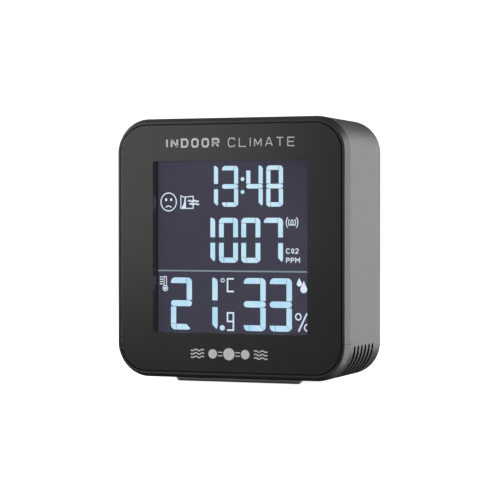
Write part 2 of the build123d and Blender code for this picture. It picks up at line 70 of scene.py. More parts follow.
# Mould insert line: its height, half its width, and the region of the case that it crosses
WITNESS_Z = 13.4 * MM
WITNESS_HALF_WIDTH = 0.09 * MM
WITNESS_X = 35.0 * MM
WITNESS_Y = frame_low.y + 6.0 * MM

# Lower corners of the case, where the curved vents are
CORNER_RADIUS = 11.0 * MM
SKIN = 0.75 * MM
SLOT_TOP = 0.3 * MM
SLOTS_FROM = frame_low.y + 5.5 * MM
SLOTS_TO = frame_low.y + 25.8 * MM
# Colour of the painted shade on the walls of the vent slots
UNLIT_INSIDE = (0.001, 0.001, 0.001)

# Foot bars: where the painted highlight on their upper part starts, where it is full, and its colour
FOOT_HIGHLIGHT_FROM = 0.4 * MM
FOOT_HIGHLIGHT_FULL = 0.9 * MM
FOOT_HIGHLIGHT = (0.5, 0.5, 0.5)

# Walls of the display opening, and the painted light on them
OPENING_HALF_WIDTH = 27.0 * MM
OPENING_FROM = panel_y + 0.25 * MM
PAINTED_OPENING_GLOW = (0.013, 0.013, 0.0125)


def start_material(name):
    """A new material; returns it with its node tree and its Principled shader."""
    material = bpy.data.materials.new(name)
    material.use_nodes = True
    tree = material.node_tree
    return material, tree, tree.nodes["Principled BSDF"]


def object_noise(tree, scale, detail=2.0, roughness=0.5, stretch=(1, 1, 1)):
    """Noise over the object's own coordinates; scale is in cycles per metre."""
    coordinates = tree.nodes.new("ShaderNodeTexCoord")
    mapping = tree.nodes.new("ShaderNodeMapping")
    mapping.inputs["Scale"].default_value = stretch
    noise = tree.nodes.new("ShaderNodeTexNoise")
    noise.inputs["Scale"].default_value = scale
    noise.inputs["Detail"].default_value = detail
    noise.inputs["Roughness"].default_value = roughness
    tree.links.new(coordinates.outputs["Object"], mapping.inputs["Vector"])
    tree.links.new(mapping.outputs["Vector"], noise.inputs["Vector"])
    return noise.outputs["Fac"]


def spread(tree, value, low, high, from_low=0.3, from_high=0.7):
    """Map a value from one range onto another, held at its ends."""
    ranged = tree.nodes.new("ShaderNodeMapRange")
    ranged.inputs["From Min"].default_value = from_low
    ranged.inputs["From Max"].default_value = from_high
    ranged.inputs["To Min"].default_value = low
    ranged.inputs["To Max"].default_value = high
    tree.links.new(value, ranged.inputs["Value"])
    return ranged.outputs["Result"]


def two_tone(tree, value, dark, light, low=0.35, high=0.65):
    """Colour that runs from dark to light with a value."""
    ramp = tree.nodes.new("ShaderNodeValToRGB")
    ramp.color_ramp.elements[0].position = low
    ramp.color_ramp.elements[0].color = (*dark, 1)
    ramp.color_ramp.elements[1].position = high
    ramp.color_ramp.elements[1].color = (*light, 1)
    tree.links.new(value, ramp.inputs["Fac"])
    return ramp.outputs["Color"]


def add_bump(tree, shader, height, strength, distance):
    """Bump from a height value, feeding the shader's normal."""
    bump = tree.nodes.new("ShaderNodeBump")
    bump.inputs["Strength"].default_value = strength
    bump.inputs["Distance"].default_value = distance
    tree.links.new(height, bump.inputs["Height"])
    tree.links.new(bump.outputs["Normal"], shader.inputs["Normal"])


def tint(tree, shader, amount, colour):
    """Lay a colour over the shader's base colour, as strongly as a value says."""
    mixed = tree.nodes.new("ShaderNodeMix")
    mixed.data_type = "RGBA"
    ways_in = [socket for socket in mixed.inputs if socket.type == "RGBA"]
    way_out = [socket for socket in mixed.outputs if socket.type == "RGBA"][0]
    tree.links.new(amount, mixed.inputs[0])
    tree.links.new(shader.inputs["Base Color"].links[0].from_socket, ways_in[0])
    ways_in[1].default_value = (*colour, 1)
    tree.links.new(way_out, shader.inputs["Base Color"])


def grained_plastic(name, dark, light, rough_low, rough_high, grain=2600, strength=0.25):
    """Moulded plastic: fine spark-eroded grain, slight tone drift and uneven gloss."""
    material, tree, shader = start_material(name)
    drift = object_noise(tree, 45, detail=3)
    fine = object_noise(tree, grain, detail=2, roughness=0.6)
    tree.links.new(two_tone(tree, drift, dark, light), shader.inputs["Base Color"])
    tree.links.new(spread(tree, fine, rough_low, rough_high), shader.inputs["Roughness"])
    add_bump(tree, shader, fine, strength, GRAIN_DEPTH)
    return material


def smooth_plastic(name, colour, roughness, drift_scale=60, coat=0.0):
    """Smooth moulded plastic with faint uneven gloss."""
    material, tree, shader = start_material(name)
    drift = object_noise(tree, drift_scale, detail=3)
    shader.inputs["Base Color"].default_value = (*colour, 1)
    shader.inputs["Coat Weight"].default_value = coat
    tree.links.new(spread(tree, drift, roughness * 0.85, roughness * 1.15), shader.inputs["Roughness"])
    add_bump(tree, shader, object_noise(tree, 900), 0.05, GRAIN_DEPTH)
    return material


def brushed_metal(name, colour, roughness, stretch=(1, 12, 1), scale=900):
    """Metal with fine drawn lines and uneven polish."""
    material, tree, shader = start_material(name)
    lines = object_noise(tree, scale, detail=4, stretch=stretch)
    shader.inputs["Metallic"].default_value = 1.0
    darker = tuple(channel * 0.75 for channel in colour)
    tree.links.new(two_tone(tree, lines, darker, colour), shader.inputs["Base Color"])
    tree.links.new(spread(tree, lines, roughness * 0.7, roughness * 1.3), shader.inputs["Roughness"])
    add_bump(tree, shader, lines, 0.1, 0.02 * MM)
    return material


def place_of(tree, space="Object"):
    """The x, y and z of the shaded point, or of the direction for the world's Generated space."""
    coordinates = tree.nodes.new("ShaderNodeTexCoord")
    parts = tree.nodes.new("ShaderNodeSeparateXYZ")
    tree.links.new(coordinates.outputs[space], parts.inputs["Vector"])
    return tuple(parts.outputs)


def calculate(tree, operation, first, second=0.0):
    """One step of arithmetic; the second value may be a number or a socket."""
    step = tree.nodes.new("ShaderNodeMath")
    step.operation = operation
    tree.links.new(first, step.inputs[0])
    if isinstance(second, float):
        step.inputs[1].default_value = second
    else:
        tree.links.new(second, step.inputs[1])
    return step.outputs["Value"]


def product(tree, *values):
    """All the values multiplied together."""
    result = values[0]
    for value in values[1:]:
        result = calculate(tree, "MULTIPLY", result, value)
    return result


def witness_line(material):
    """Mould insert line on each side, from the rim back to the first vent slot: a line with less gloss."""
    tree = material.node_tree
    shader = tree.nodes["Principled BSDF"]
    x, y, z = place_of(tree)
    off_line = calculate(tree, "ABSOLUTE", calculate(tree, "SUBTRACT", z, WITNESS_Z))
    on_line = calculate(tree, "LESS_THAN", off_line, WITNESS_HALF_WIDTH)
    on_side = calculate(tree, "GREATER_THAN", calculate(tree, "ABSOLUTE", x), WITNESS_X)
    ahead = calculate(tree, "LESS_THAN", y, WITNESS_Y)
    line = product(tree, on_line, on_side, ahead)
    tree.links.new(spread(tree, line, 0.5, 0.1, 0.0, 1.0), shader.inputs["Specular IOR Level"])


def shade_slots(material):
    """The walls of the corner vents, under the case's outer skin, get painted shade: a near-black colour and
    almost no gloss.
    """
    tree = material.node_tree
    shader = tree.nodes["Principled BSDF"]
    x, y, z = place_of(tree)
    beyond = calculate(tree, "SUBTRACT", calculate(tree, "ABSOLUTE", x), frame_high.x - CORNER_RADIUS)
    below = calculate(tree, "SUBTRACT", z, frame_low.z + CORNER_RADIUS)
    squares = [calculate(tree, "POWER", side, 2.0) for side in (beyond, below)]
    reach = calculate(tree, "SQRT", calculate(tree, "ADD", *squares))
    painted_slot_shade = product(
        tree,
        calculate(tree, "LESS_THAN", reach, CORNER_RADIUS - SKIN),
        calculate(tree, "GREATER_THAN", beyond, 0.0),
        calculate(tree, "LESS_THAN", below, SLOT_TOP),
        calculate(tree, "GREATER_THAN", y, SLOTS_FROM),
        calculate(tree, "LESS_THAN", y, SLOTS_TO),
    )
    tint(tree, shader, painted_slot_shade, UNLIT_INSIDE)
    gloss = shader.inputs["Specular IOR Level"].links[0].from_socket
    kept_gloss = product(tree, gloss, spread(tree, painted_slot_shade, 1.0, 0.05, 0.0, 1.0))
    tree.links.new(kept_gloss, shader.inputs["Specular IOR Level"])


def painted_highlight_top(material):
    """Painted highlight: the rubber is paler above the part that touches the desk, standing in for light
    along the top of the foot bars.
    """
    tree = material.node_tree
    height = place_of(tree)[2]
    highlight_amount = spread(tree, height, 0.0, 1.0, FOOT_HIGHLIGHT_FROM, FOOT_HIGHLIGHT_FULL)
    tint(tree, tree.nodes["Principled BSDF"], highlight_amount, FOOT_HIGHLIGHT)


def painted_glow_on_opening(material):
    """Painted light: the walls of the display opening glow faintly of their own, standing in for the
    display's glow that they would catch.
    """
    tree = material.node_tree
    shader = tree.nodes["Principled BSDF"]
    x, y = place_of(tree)[:2]
    behind = calculate(tree, "GREATER_THAN", y, OPENING_FROM)
    inside = calculate(tree, "LESS_THAN", calculate(tree, "ABSOLUTE", x), OPENING_HALF_WIDTH)
    shader.inputs["Emission Color"].default_value = (*PAINTED_OPENING_GLOW, 1)
    tree.links.new(product(tree, behind, inside), shader.inputs["Emission Strength"])


def woven_mesh(name, thread, hole, pitch):
    """Dust screen: crossed threads over dark holes."""
    material, tree, shader = start_material(name)
    coordinates = tree.nodes.new("ShaderNodeTexCoord")
    brick = tree.nodes.new("ShaderNodeTexBrick")
    brick.offset = 0.0
    brick.inputs["Scale"].default_value = 1 / pitch
    brick.inputs["Mortar Size"].default_value = 0.12
    brick.inputs["Brick Width"].default_value = 0.5
    brick.inputs["Row Height"].default_value = 0.5
    brick.inputs["Color1"].default_value = (*hole, 1)
    brick.inputs["Color2"].default_value = (*hole, 1)
    brick.inputs["Mortar"].default_value = (*thread, 1)
    swap = tree.nodes.new("ShaderNodeMapping")
    swap.inputs["Rotation"].default_value = (math.radians(90), 0, math.radians(90))
    tree.links.new(coordinates.outputs["Object"], swap.inputs["Vector"])
    tree.links.new(swap.outputs["Vector"], brick.inputs["Vector"])
    tree.links.new(brick.outputs["Color"], shader.inputs["Base Color"])
    shader.inputs["Roughness"].default_value = 0.8
    shader.inputs["Specular IOR Level"].default_value = 0.15
    add_bump(tree, shader, brick.outputs["Fac"], 0.4, 0.08 * MM)
    return material


def circuit_board(name):
    """Green solder mask over faint copper tracks."""
    material, tree, shader = start_material(name)
    coordinates = tree.nodes.new("ShaderNodeTexCoord")
    swap = tree.nodes.new("ShaderNodeMapping")
    swap.inputs["Rotation"].default_value = (math.radians(90), 0, 0)
    tracks = tree.nodes.new("ShaderNodeTexBrick")
    tracks.inputs["Scale"].default_value = 180
    tracks.inputs["Mortar Size"].default_value = 0.06
    tracks.inputs["Color1"].default_value = (0.012, 0.11, 0.045, 1)
    tracks.inputs["Color2"].default_value = (0.016, 0.14, 0.055, 1)
    tracks.inputs["Mortar"].default_value = (0.06, 0.26, 0.10, 1)
    tree.links.new(coordinates.outputs["Object"], swap.inputs["Vector"])
    tree.links.new(swap.outputs["Vector"], tracks.inputs["Vector"])
    tree.links.new(tracks.outputs["Color"], shader.inputs["Base Color"])
    shader.inputs["Roughness"].default_value = 0.3
    add_bump(tree, shader, tracks.outputs["Fac"], 0.2, GRAIN_DEPTH)
    return material


def clear_lens(name):
    """Clear acrylic window."""
    material, tree, shader = start_material(name)
    shader.inputs["Base Color"].default_value = (0.97, 0.975, 0.98, 1)
    shader.inputs["Transmission Weight"].default_value = 1.0
    shader.inputs["IOR"].default_value = 1.49
    smear = object_noise(tree, 70, detail=4)
    tree.links.new(spread(tree, smear, 0.015, 0.035), shader.inputs["Roughness"])
    shader.inputs["Specular Tint"].default_value = (0.25, 0.25, 0.25, 1)
    return material


def display_film(name):
    """Front polariser: dark film with the backlight's leak showing through, weaker in one corner."""
    material, tree, shader = start_material(name)
    shader.inputs["Base Color"].default_value = (0.012, 0.011, 0.014, 1)
    shader.inputs["Roughness"].default_value = 0.35
    leak = object_noise(tree, 30, detail=2)
    tone = two_tone(tree, leak, LEAK_DARK, LEAK_LIGHT, 0.3, 0.7)
    coordinates = tree.nodes.new("ShaderNodeTexCoord")
    reach = tree.nodes.new("ShaderNodeVectorMath")
    reach.operation = "DISTANCE"
    reach.inputs[1].default_value = LEAK_DIM_CORNER
    tree.links.new(coordinates.outputs["Object"], reach.inputs[0])
    weaker = spread(tree, reach.outputs["Value"], 0.66, 1.0, 0.002, 0.024)
    dimmed = tree.nodes.new("ShaderNodeVectorMath")
    dimmed.operation = "SCALE"
    tree.links.new(tone, dimmed.inputs["Vector"])
    tree.links.new(weaker, dimmed.inputs["Scale"])
    tree.links.new(dimmed.outputs["Vector"], shader.inputs["Emission Color"])
    shader.inputs["Emission Strength"].default_value = 1.0
    return material


def lit_segment(name, dark, light, strength):
    """Segment with the backlight behind it: whiter toward the top, a little uneven along its length."""
    material, tree, shader = start_material(name)
    shader.inputs["Base Color"].default_value = (0.05, 0.05, 0.05, 1)
    shader.inputs["Roughness"].default_value = 0.4
    streaks = object_noise(tree, 330, detail=2, stretch=(1, 1, 0.45))
    z = place_of(tree)[2]
    height = spread(tree, z, -0.12, 0.12, mid_z - SEGMENT_REACH, mid_z + SEGMENT_REACH)
    mixed = calculate(tree, "ADD", streaks, height)
    tree.links.new(two_tone(tree, mixed, dark, light, 0.25, 0.75), shader.inputs["Emission Color"])
    shader.inputs["Emission Strength"].default_value = strength
    return material


def printed_ink(name, colour):
    """Pad-printed ink, a little thin in places."""
    material, tree, shader = start_material(name)
    thin = object_noise(tree, 2200, detail=2)
    faded = tuple(channel * 0.85 for channel in colour)
    tree.links.new(two_tone(tree, thin, faded, colour, 0.3, 0.6), shader.inputs["Base Color"])
    shader.inputs["Roughness"].default_value = 0.55
    return material


case_material = grained_plastic("case_plastic", (0.015, 0.015, 0.0155), (0.018, 0.018, 0.0185), 0.36, 0.46)
witness_line(case_material)
# Painted shade inside the corner vent slots
shade_slots(case_material)
panel_material = grained_plastic(
    "panel_plastic", (0.013, 0.013, 0.0135), (0.016, 0.016, 0.0165), 0.26, 0.34, grain=3200, strength=0.2
)
# Painted light on the walls of the display opening
painted_glow_on_opening(panel_material)
foot_material = grained_plastic("foot_plastic", (0.030, 0.030, 0.031), (0.036, 0.036, 0.037), 0.30, 0.42)
button_material = grained_plastic("button_plastic", (0.035, 0.035, 0.036), (0.045, 0.045, 0.046), 0.4, 0.5)
rubber_material = grained_plastic("pad_rubber", (0.10, 0.10, 0.10), (0.13, 0.13, 0.13), 0.45, 0.6, 1500)
# Painted highlight along the top of the foot bars
painted_highlight_top(rubber_material)
header_material = smooth_plastic("header_plastic", (0.02, 0.02, 0.02), 0.45)
chip_material = smooth_plastic("chip_epoxy", (0.018, 0.018, 0.019), 0.6)
white_material = smooth_plastic("holder_plastic", (0.78, 0.78, 0.77), 0.5)
film_material = smooth_plastic("light_film", (0.85, 0.86, 0.86), 0.3)
lever_material = smooth_plastic("lever_plastic", (0.62, 0.61, 0.58), 0.5)
connector_material = smooth_plastic("connector_plastic", (0.80, 0.77, 0.68), 0.5)
tape_material = smooth_plastic("foam_tape", (0.82, 0.81, 0.77), 0.9)
membrane_material = smooth_plastic("filter_membrane", (0.86, 0.86, 0.85), 0.9, drift_scale=400)
elastomer_material = smooth_plastic("contact_rubber", (0.16, 0.16, 0.18), 0.7)
lead_material = smooth_plastic("lead_sleeve", (0.50, 0.02, 0.015), 0.45)
resistor_material = smooth_plastic("resistor_ceramic", (0.03, 0.03, 0.035), 0.4)
led_material = smooth_plastic("led_resin", (0.85, 0.80, 0.45), 0.25)
steel_material = brushed_metal("screw_steel", (0.62, 0.62, 0.63), 0.32)
stamped_material = brushed_metal("stamped_steel", (0.66, 0.66, 0.66), 0.35)
can_material = brushed_metal("drawn_aluminium", (0.80, 0.80, 0.81), 0.28)
pouch_material = brushed_metal("pouch_foil", (0.60, 0.60, 0.62), 0.42, stretch=(1, 1, 1), scale=250)
usb_material = brushed_metal("usb_shell", (0.72, 0.72, 0.74), 0.22)
gold_material = brushed_metal("gold_plate", (0.83, 0.64, 0.30), 0.3)
mesh_material = woven_mesh("dust_mesh", (0.010, 0.010, 0.010), (0.002, 0.002, 0.002), 0.0009)
board_material = circuit_board("solder_mask")
lens_material = clear_lens("window_lens")
film_face_material = display_film("display_film")
glass_material = smooth_plastic("display_glass", (0.02, 0.02, 0.024), 0.1, coat=0.5)
# The blacked-out glass glows faintly: partly backlight leak, partly painted light standing in for the studio
# light that the lens keeps off it
mask_material = lit_segment("glass_mask", (0.011, 0.011, 0.012), (0.014, 0.014, 0.015), 1.0)
segment_material = lit_segment("lit_segment", SEGMENT_BLUE, SEGMENT_WHITE, 1.0)
icon_material = lit_segment("lit_icon", (0.66, 0.82, 0.95), (0.80, 0.91, 0.98), 1.0)
unlit_material = lit_segment("unlit_segment", (0.028, 0.044, 0.070), (0.034, 0.050, 0.078), 1.0)
divider_material = lit_segment("lit_divider", (0.20, 0.27, 0.29), (0.24, 0.30, 0.32), 1.0)
ink_material = printed_ink("printed_ink", (0.72, 0.72, 0.73))
dim_ink_material = printed_ink("rear_ink", (0.36, 0.36, 0.37))

SLOT_MATERIALS = {
    "case_plastic": case_material,
    "panel_plastic": panel_material,
    "lens": lens_material,
    "foot": foot_material,
    "pad_rubber": rubber_material,
    "steel": steel_material,
    "mesh": mesh_material,
    "display_glass": glass_material,
    "polarizer": film_face_material,
    "white_plastic": white_material,
    "film": film_material,
    "led": led_material,
    "elastomer": elastomer_material,
    "board_green": board_material,
    "chip_black": chip_material,
    "resistor": resistor_material,
    "can": can_material,
    "sensor_gold": gold_material,
    "membrane": membrane_material,
    "header_black": header_material,
    "battery_wrap": pouch_material,
    "tape": tape_material,
    "lead": lead_material,
    "connector": connector_material,
    "buzzer": chip_material,
    "switch_metal": stamped_material,
    "button_plastic": button_material,
    "lever": lever_material,
    "usb_steel": usb_material,
    "tongue": header_material,
}
for entry in frame["record"]["subparts"]:
    mesh = nodes[entry["node"]].data
    material = SLOT_MATERIALS[entry["material_slot"]]
    if mesh.materials:
        for place in range(len(mesh.materials)):
            mesh.materials[place] = material
    else:
        mesh.materials.append(material)


# ---------------------------------------------------------------- flat shapes, in mm

def arc(x, z, radius, start, end, steps=8):
    """Points on an arc; angles in degrees, counter-clockwise from +X."""
    angles = [math.radians(start + (end - start) * step / steps) for step in range(steps + 1)]
    return [(x + radius * math.cos(angle), z + radius * math.sin(angle)) for angle in angles]


def disc(x, z, radius, height=None, steps=28):
    """Outline of a circle, or of an ellipse when a height is given."""
    stretch = 1 if height is None else height / radius
    return [(px, z + (pz - z) * stretch) for px, pz in arc(x, z, radius, 0, 360 - 360 / steps, steps - 1)]


def stadium(x0, x1, z0, z1):
    """Bar with full-round ends."""
    radius = (z1 - z0) / 2
    middle = (z0 + z1) / 2
    return arc(x0 + radius, middle, radius, 90, 270) + arc(x1 - radius, middle, radius, -90, 90)


def rectangle(x0, x1, z0, z1):
    """Plain rectangle."""
    return [(x0, z0), (x1, z0), (x1, z1), (x0, z1)]


def stroke(points, width):
    """Polygons that cover a polyline with a given width, mitred at its bends."""
    half = width / 2
    sides = []
    for place, (x, z) in enumerate(points):
        before = points[max(place - 1, 0)]
        after = points[min(place + 1, len(points) - 1)]
        ahead = Vector((after[0] - x, after[1] - z))
        behind = Vector((x - before[0], z - before[1]))
        if ahead.length == 0:
            ahead = behind
        if behind.length == 0:
            behind = ahead
        ahead.normalize()
        behind.normalize()
        mean = (ahead + behind).normalized()
        normal = Vector((-mean.y, mean.x))
        reach = half / max(normal.dot(Vector((-ahead.y, ahead.x))), 0.3)
        shift_x, shift_z = normal.x * reach, normal.y * reach
        sides.append(((x + shift_x, z + shift_z), (x - shift_x, z - shift_z)))
    return [[a[0], a[1], b[1], b[0]] for a, b in zip(sides, sides[1:])]


def ring(x, z, radius, width, height=None, start=0, end=360, steps=36):
    """Polygons of a ring or of part of one; width is the line's own."""
    stretch = 1 if height is None else height / radius
    middle = radius - width / 2
    points = [(px, z + (pz - z) * stretch) for px, pz in arc(x, z, middle, start, end, steps)]
    return stroke(points, width)


def plate(name, polygons, face_y, thickness, material, facing=-1):
    """Thin raised piece with the given outlines, proud of a flat face toward -Y, or +Y if facing is 1."""
    work = bmesh.new()
    for polygon in polygons:
        front = [work.verts.new((x * MM, face_y + facing * thickness, z * MM + mid_z)) for x, z in polygon]
        back = [work.verts.new((x * MM, face_y, z * MM + mid_z)) for x, z in polygon]
        work.faces.new(front)
        work.faces.new(list(reversed(back)))
        count = len(polygon)
        for place in range(count):
            following = (place + 1) % count
            work.faces.new((front[place], back[place], back[following], front[following]))
    bmesh.ops.remove_doubles(work, verts=work.verts, dist=1e-7)
    bmesh.ops.recalc_face_normals(work, faces=work.faces)
    mesh = bpy.data.meshes.new(name)
    work.to_mesh(mesh)
    work.free()
    piece = bpy.data.objects.new(name, mesh)
    bpy.context.scene.collection.objects.link(piece)
    mesh.materials.append(material)
    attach(piece, "case")


# ---------------------------------------------------------------- display

SEGMENTS_OF = {
    "0": "abcdef", "1": "bc", "2": "abged", "3": "abgcd", "4": "fgbc", "7": "abc", "8": "abcdefg",
}
HAIRLINE = 0.13


def digit(figure, x0, x1, z0, z1, low, high, line):
    """Seven-segment digit as polygons. The middle bar lies from low to high."""
    corner = line * 0.82
    gap = HAIRLINE
    shapes = {
        "a": [(x0, z1 - line)] + arc(x0 + corner, z1 - corner, corner, 180, 90)
        + [(x1 - line - gap, z1), (x1 - line - gap, z1 - line)],
        "b": [(x1 - line, high + gap), (x1 - line, z1)]
        + arc(x1 - corner, z1 - corner, corner, 90, 0) + [(x1, high + gap)],
        "c": [(x1 - line, low - gap), (x1, low - gap)]
        + arc(x1 - corner, z0 + corner, corner, 0, -45, 4) + [(x1 - line, z0 + line)],
        "d": [(x0 + line + gap, z0 + line), (x0 + line + gap, z0)]
        + [(px - gap, pz) for px, pz in arc(x1 - corner, z0 + corner, corner, -90, -45, 4)]
        + [(x1 - line - gap, z0 + line)],
        "e": rectangle(x0, x0 + line, z0 + line + gap * 0.6, low - gap),
        "f": rectangle(x0, x0 + line, high + gap, z1 - line - gap),
        "g": stadium(x0, x1, low, high),
    }
    on = SEGMENTS_OF[figure]
    polygons = [shapes[key] for key in on]
    if "d" in on or "e" in on:
        foot = arc(x0 + corner, z0 + corner, corner, 180, 270)
        polygons.append([(x0, z0 + line)] + foot + [(x0 + line, z0), (x0 + line, z0 + line)])
    return polygons


def row_of_digits(figures, z0, z1, low, high, line):
    """Digits of one row; figures pairs each one with its cell's left and right."""
    polygons = []
    for figure, x0, x1 in figures:
        polygons += digit(figure, x0, x1, z0, z1, low, high, line)
    return polygons


SEGMENT_RISE = 0.03 * MM
UNLIT_RISE = 0.01 * MM

clock = row_of_digits(
    [("1", -11.15, -5.5), ("3", -4.08, 1.48), ("4", 4.28, 9.95), ("8", 11.15, 16.84)],
    13.2, 26.27, 18.98, 20.43, 1.42,
)
clock += [disc(3.0, 22.02, 0.65), disc(3.0, 17.92, 0.65)]
plate("clock_digits", clock, display_y, SEGMENT_RISE, segment_material)

level = row_of_digits(
    [("1", -13.08, -6.52), ("0", -5.16, 1.4), ("0", 2.58, 9.12), ("7", 10.36, 16.84)],
    -4.66, 9.7, 1.82, 3.35, 1.64,
)
plate("gas_level_digits", level, display_y, SEGMENT_RISE, segment_material)

warmth = row_of_digits(
    [("2", -22.06, -14.66), ("1", -13.15, -5.66)], -26.35, -9.52, -18.8, -16.87, 1.84
)
warmth.append(disc(-4.03, -25.52, 0.88))
plate("temperature_digits", warmth, display_y, SEGMENT_RISE, segment_material)

tenths = stroke(
    [(-0.17, -23.42), (-2.2, -23.42), (-2.2, -20.7), (-0.17, -20.7), (-0.17, -26.2), (-2.35, -26.2)], 0.5
)
tenths += stroke([(0.0, -9.8), (-2.2, -9.8), (-2.2, -13.85), (0.0, -13.85)], 0.5)
tenths += ring(-3.89, -10.31, 0.7, 0.28)
plate("temperature_tenths", tenths, display_y, SEGMENT_RISE, icon_material)

damp = row_of_digits(
    [("3", 3.44, 10.96), ("3", 12.36, 19.88)], -26.35, -9.47, -18.84, -16.82, 1.84
)
plate("humidity_digits", damp, display_y, SEGMENT_RISE, segment_material)

percent = ring(22.05, -21.55, 1.1, 0.4, height=1.22) + ring(25.06, -24.97, 1.1, 0.4, height=1.22)
percent += stroke([(22.14, -26.2), (25.0, -20.35)], 0.5)
plate("humidity_percent", percent, display_y, SEGMENT_RISE, icon_material)

# Ends of the middle bars that are off still show a little, darker than the ground
unlit = []
for left, right in ((None, -6.52), (-5.16, 1.4), (2.58, 9.12), (None, 16.84)):
    unlit.append(stadium(right - 2.2, right + 0.05, 1.8, 3.37))
    if left is not None:
        unlit.append(stadium(left - 0.05, left + 2.2, 1.8, 3.37))
unlit += [stadium(-7.5, -5.45, 18.96, 20.45), stadium(-8.1, -5.6, -18.82, -16.85)]
plate("unlit_bars", unlit, display_y, UNLIT_RISE, unlit_material)

plate("divider_line", [rectangle(-27.0, 27.0, -7.58, -7.12)], display_y, SEGMENT_RISE, divider_material)


def face_icon():
    """Frowning face."""
    x, z = -22.87, 14.84
    polygons = ring(x, z, 2.9, 0.34, height=3.08)
    polygons += [disc(x - 0.9, z + 0.72, 0.38, 0.46), disc(x + 0.9, z + 0.72, 0.38, 0.46)]
    polygons += ring(x, z - 2.55, 1.4, 0.34, start=38, end=142, steps=14)
    return polygons


def window_icon():
    """Window with its sash swung in, and two breaths of air."""
    outline = [
        (-17.3, 16.35), (-18.55, 16.78), (-18.55, 12.74), (-14.2, 12.74), (-14.2, 16.66), (-17.3, 16.35),
    ]
    polygons = stroke(outline, 0.3)
    polygons.append([
        (-18.45, 12.74), (-17.75, 13.8), (-17.35, 14.9), (-17.15, 16.35), (-16.82, 16.35), (-16.75, 12.74),
    ])
    for start, end, height in ((-16.05, -12.25, 15.1), (-15.55, -12.15, 14.12)):
        wave = [
            (start + (end - start) * step / 14, height + 0.15 * math.sin(step * math.pi / 3.5))
            for step in range(15)
        ]
        polygons += stroke(wave, 0.46)
    return polygons


def thermometer_icon():
    """Thermometer beside its scale."""
    x, z = -24.09, -13.05
    polygons = ring(x, z, 0.98, 0.26) + [disc(x, z, 0.46)]
    polygons += stroke([(x - 0.42, z + 0.85), (x - 0.42, -9.3), (x + 0.42, -9.3), (x + 0.42, z + 0.85)], 0.26)
    for height in (-9.43, -10.18, -10.93, -11.68):
        polygons.append(rectangle(-26.0, -24.9, height - 0.15, height + 0.15))
    return polygons


def alarm_icon():
    """Bell shape between two pairs of sound arcs."""
    x, z = 19.93, 8.2
    polygons = ring(x, z, 0.52, 0.26, height=1.05)
    polygons.append(rectangle(x - 0.85, x + 0.85, z - 0.92, z - 0.68))
    for reach, radius, sweep in ((2.12, 3.06, 34), (1.33, 1.9, 36)):
        for side in (-1, 1):
            middle = 90 - side * 90
            polygons += ring(
                x + side * (reach - radius), z, radius, 0.28,
                start=middle - sweep, end=middle + sweep, steps=12,
            )
    return polygons


def drop(x, z, radius, tall):
    """Water drop with its point up."""
    shoulder = radius * 0.36
    shoulder_z = z + tall * 0.66
    tip = [(x + shoulder, shoulder_z), (x, z + tall), (x - shoulder, shoulder_z)]
    return arc(x, z, radius, 152, 388, 20) + tip


plate("mood_icon", face_icon(), display_y, SEGMENT_RISE, icon_material)
plate("ventilation_icon", window_icon(), display_y, SEGMENT_RISE, icon_material)
plate("thermometer_icon", thermometer_icon(), display_y, SEGMENT_RISE, icon_material)
plate("alarm_icon", alarm_icon(), display_y, SEGMENT_RISE, icon_material)
plate("humidity_icon", [drop(22.37, -11.15, 0.85, 1.85)], display_y, SEGMENT_RISE, icon_material)
plate("humidity_drop", [drop(23.88, -12.93, 1.14, 2.75)], display_y, SEGMENT_RISE, icon_material)

GLYPHS = {
    "C": [[(1, 0.82), (0.72, 1), (0.28, 1), (0, 0.8), (0, 0.2), (0.28, 0), (0.72, 0), (1, 0.18)]],
    "0": [[(0.5, 1), (0, 0.82), (0, 0.18), (0.5, 0), (1, 0.18), (1, 0.82), (0.5, 1)]],
    "2": [[(0, 0.8), (0.3, 1), (0.75, 1), (1, 0.78), (1, 0.6), (0, 0), (1.05, 0)]],
    "P": [[(0, -0.1), (0, 1), (0.7, 1), (1, 0.8), (1, 0.62), (0.7, 0.45), (0, 0.45)]],
    "M": [[(0, -0.1), (0, 1), (0.5, 0.42), (1, 1), (1, -0.1)]],
}


def small_caption(cells, z0, z1, line):
    """Stroked capitals; cells pairs each one with its left and right."""
    polygons = []
    for glyph, x0, x1 in cells:
        for path in GLYPHS[glyph]:
            points = [(x0 + (x1 - x0) * part, z0 + (z1 - z0) * rise) for part, rise in path]
            polygons += stroke(points, line)
    return polygons


gas_cells = [("C", 18.02, 19.12), ("0", 19.82, 20.48), ("2", 21.12, 22.02)]
unit_cells = [("P", 18.02, 18.98), ("P", 19.58, 20.54), ("M", 21.14, 22.48)]
plate("gas_caption", small_caption(gas_cells, -1.52, -0.1, 0.28), display_y, SEGMENT_RISE, icon_material)
plate("unit_caption", small_caption(unit_cells, -4.42, -3.06, 0.28), display_y, SEGMENT_RISE, icon_material)

# The glass is blacked out beyond the window opening; the lens overlaps the opening's edge by this much
LENS_OVERLAP = 2.0
lens_low, lens_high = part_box("window_lens")
film_low, film_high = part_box("lcd_front_polarizer")
MASK_RISE = 0.04 * MM


def flat_extent(low, high):
    """Left, right, bottom and top of a box in the flat shapes' own millimetres."""
    return low.x / MM, high.x / MM, (low.z - mid_z) / MM, (high.z - mid_z) / MM


seen_x0, seen_x1, seen_z0, seen_z1 = flat_extent(lens_low, lens_high)
seen_x0, seen_x1 = seen_x0 + LENS_OVERLAP, seen_x1 - LENS_OVERLAP
seen_z0, seen_z1 = seen_z0 + LENS_OVERLAP, seen_z1 - LENS_OVERLAP
film_x0, film_x1, film_z0, film_z1 = flat_extent(film_low, film_high)
mask = [
    rectangle(film_x0, seen_x0, film_z0, film_z1),
    rectangle(seen_x1, film_x1, film_z0, film_z1),
    rectangle(seen_x0, seen_x1, film_z0, seen_z0),
    rectangle(seen_x0, seen_x1, seen_z1, film_z1),
]
plate("display_mask", mask, display_y, MASK_RISE, mask_material)


